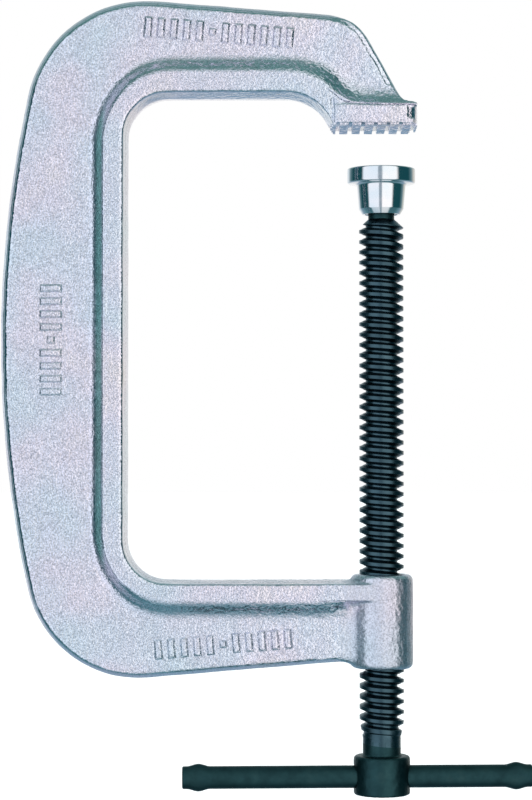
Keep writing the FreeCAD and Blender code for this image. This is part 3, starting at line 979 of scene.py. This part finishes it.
# ------------------------------------------------------------------ put together
def dress(obj, mat, body, slot, *nodes):
    """Give a piece its material and its body, and hide the CAD nodes it stands for."""
    obj.data.materials.clear()
    obj.data.materials.append(mat)
    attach(obj, body)
    if nodes:
        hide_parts(*nodes)


zinc = zinc_forging()
thread_black = black_oxide("black_oxide_thread", 0.24, THREAD_TINTS)
screw_black = black_oxide("black_oxide_screw", 0.36, OXIDE_TINTS)
bar_black = black_oxide("black_oxide_bar", 0.44, OXIDE_TINTS)
dress(forging_skin(), zinc, "frame_body", "plated_forging", "frame")
dress(anvil_teeth(), zinc, "frame_body", "plated_forging")
dress(forging_marks(), zinc, "frame_body", "plated_forging")
dress(screw_thread(), thread_black, "screw", "black_oxide_screw", "spindle")
dress(spindle_nose(), screw_black, "screw", "black_oxide_screw")
dress(spindle_head(), screw_black, "screw", "black_oxide_screw")
dress(swivel_pad(), bright_zinc(), "pad", "plated_pad", "swivel_pad")
dress(snap_ring(), spring_steel(), "carrier", "spring_steel", "retaining_ring")
dress(tommy_bar(), bar_black, "bar", "black_oxide_bar", "tommy_bar")


# ------------------------------------------------------------------ floor, light and camera
FLOOR_HALF = 15.0
FLOOR_GAP = 2 * MM
SUN_ENERGY = 3.2
LENS = 103.5
SENSOR = 36
CAMERA_PLACE = Vector((-0.0316, -0.893, -0.126))
CAMERA_TARGET = Vector((-0.0448, 0.0, -0.1049))
WHITE = (1.0, 1.0, 1.0)
LEFT_PANEL = (1.02, 1.06, 1.14)
RIGHT_PANEL = (1.22, 1.20, 1.20)
PANEL_GAP = (0.36, 0.42, 0.48)
DARK_SIDE = (0.010, 0.070, 0.085)
SIDE_WALL = (0.14, 0.24, 0.27)
ABOVE = (0.13, 0.27, 0.25)
BELOW = (0.12, 0.26, 0.30)
ABOVE_BEHIND = (0.38, 0.48, 0.50)
BELOW_BEHIND = (0.28, 0.39, 0.50)
# Colour of the studio at eye level, by the angle in degrees from straight in front.
STUDIO = [
    (-180, WHITE),
    (-146, (0.78, 0.83, 0.87)),
    (-130, SIDE_WALL),
    (-112, DARK_SIDE),
    (-71, DARK_SIDE),
    (-63, LEFT_PANEL),
    (-14, LEFT_PANEL),
    (-11, PANEL_GAP),
    (0, PANEL_GAP),
    (4, RIGHT_PANEL),
    (51, RIGHT_PANEL),
    (61, DARK_SIDE),
    (104, DARK_SIDE),
    (122, SIDE_WALL),
    (140, (0.66, 0.64, 0.58)),
    (180, WHITE),
]


def make_floor():
    """A pale floor below the lowest place the screw reaches, left out of reflections."""
    z = screw_low.z - FULL_TRAVEL - FLOOR_GAP
    corners = [(x * FLOOR_HALF, y * FLOOR_HALF, z) for x, y in ((-1, -1), (1, -1), (1, 1), (-1, 1))]
    obj = make_object("floor", corners, [(0, 1, 2, 3)], smooth=False)
    obj.data.materials.append(paper_floor())
    obj.visible_glossy = False


def make_world():
    """A white studio with two soft panels in front and darker walls at the sides."""
    world = bpy.data.worlds.new("studio")
    bpy.context.scene.world = world
    world.use_nodes = True
    nodes, links = world.node_tree.nodes, world.node_tree.links
    split = nodes.new("ShaderNodeSeparateXYZ")
    links.new(nodes.new("ShaderNodeTexCoord").outputs["Generated"], split.inputs["Vector"])
    x, y, z = (split.outputs[axis] for axis in "XYZ")
    turn = math(nodes, links, "ARCTAN2", x, math(nodes, links, "MULTIPLY", y, -1.0))
    around = span(nodes, links, turn, (-pi, 0.0), (pi, 1.0))
    stops = [(angle / 360 + 0.5, colour) for angle, colour in STUDIO]
    level = ramp(nodes, links, around, stops)
    near = ramp(nodes, links, z, [(0.0, BELOW), (0.05, ABOVE)])
    far = ramp(nodes, links, z, [(0.0, BELOW_BEHIND), (0.05, ABOVE_BEHIND)])
    behind = ramp(nodes, links, y, [(0.3, 0.0), (0.8, 1.0)])
    high = mix(nodes, links, "MIX", behind, near, far)
    # The panels in front reach higher than the walls behind before they fade.
    back = span(nodes, links, y, (-1.0, 0.0), (1.0, 1.0))
    squeeze = ramp(nodes, links, back, [(0.25, 0.30), (0.50, 0.43), (0.55, 0.45), (0.80, 1.0)])
    lift = math(nodes, links, "MULTIPLY", math(nodes, links, "ABSOLUTE", z, 0.0), squeeze)
    away = ramp(nodes, links, lift, [(0.14, 0.0), (0.43, 1.0)])
    studio = mix(nodes, links, "MIX", away, level, high)
    seen = nodes.new("ShaderNodeLightPath").outputs["Is Camera Ray"]
    links.new(mix(nodes, links, "MIX", seen, studio, WHITE), nodes["Background"].inputs["Color"])


def overhead_sun():
    """Soft light from straight above, for the floor only."""
    data = bpy.data.lights.new("overhead", "SUN")
    data.angle = radians(70)
    data.energy = SUN_ENERGY
    obj = bpy.data.objects.new("overhead", data)
    bpy.context.scene.collection.objects.link(obj)
    obj.visible_glossy = False


def make_camera():
    """A long lens nearly square on to the clamp."""
    data = bpy.data.cameras.new("camera")
    data.lens = LENS
    data.sensor_width = SENSOR
    obj = bpy.data.objects.new("camera", data)
    bpy.context.scene.collection.objects.link(obj)
    obj.location = CAMERA_PLACE
    obj.rotation_mode = "QUATERNION"
    obj.rotation_quaternion = (CAMERA_TARGET - CAMERA_PLACE).to_track_quat("-Z", "Y")
    bpy.context.scene.camera = obj


make_floor()
make_world()
overhead_sun()
make_camera()
bpy.context.scene.view_settings.view_transform = "Standard"
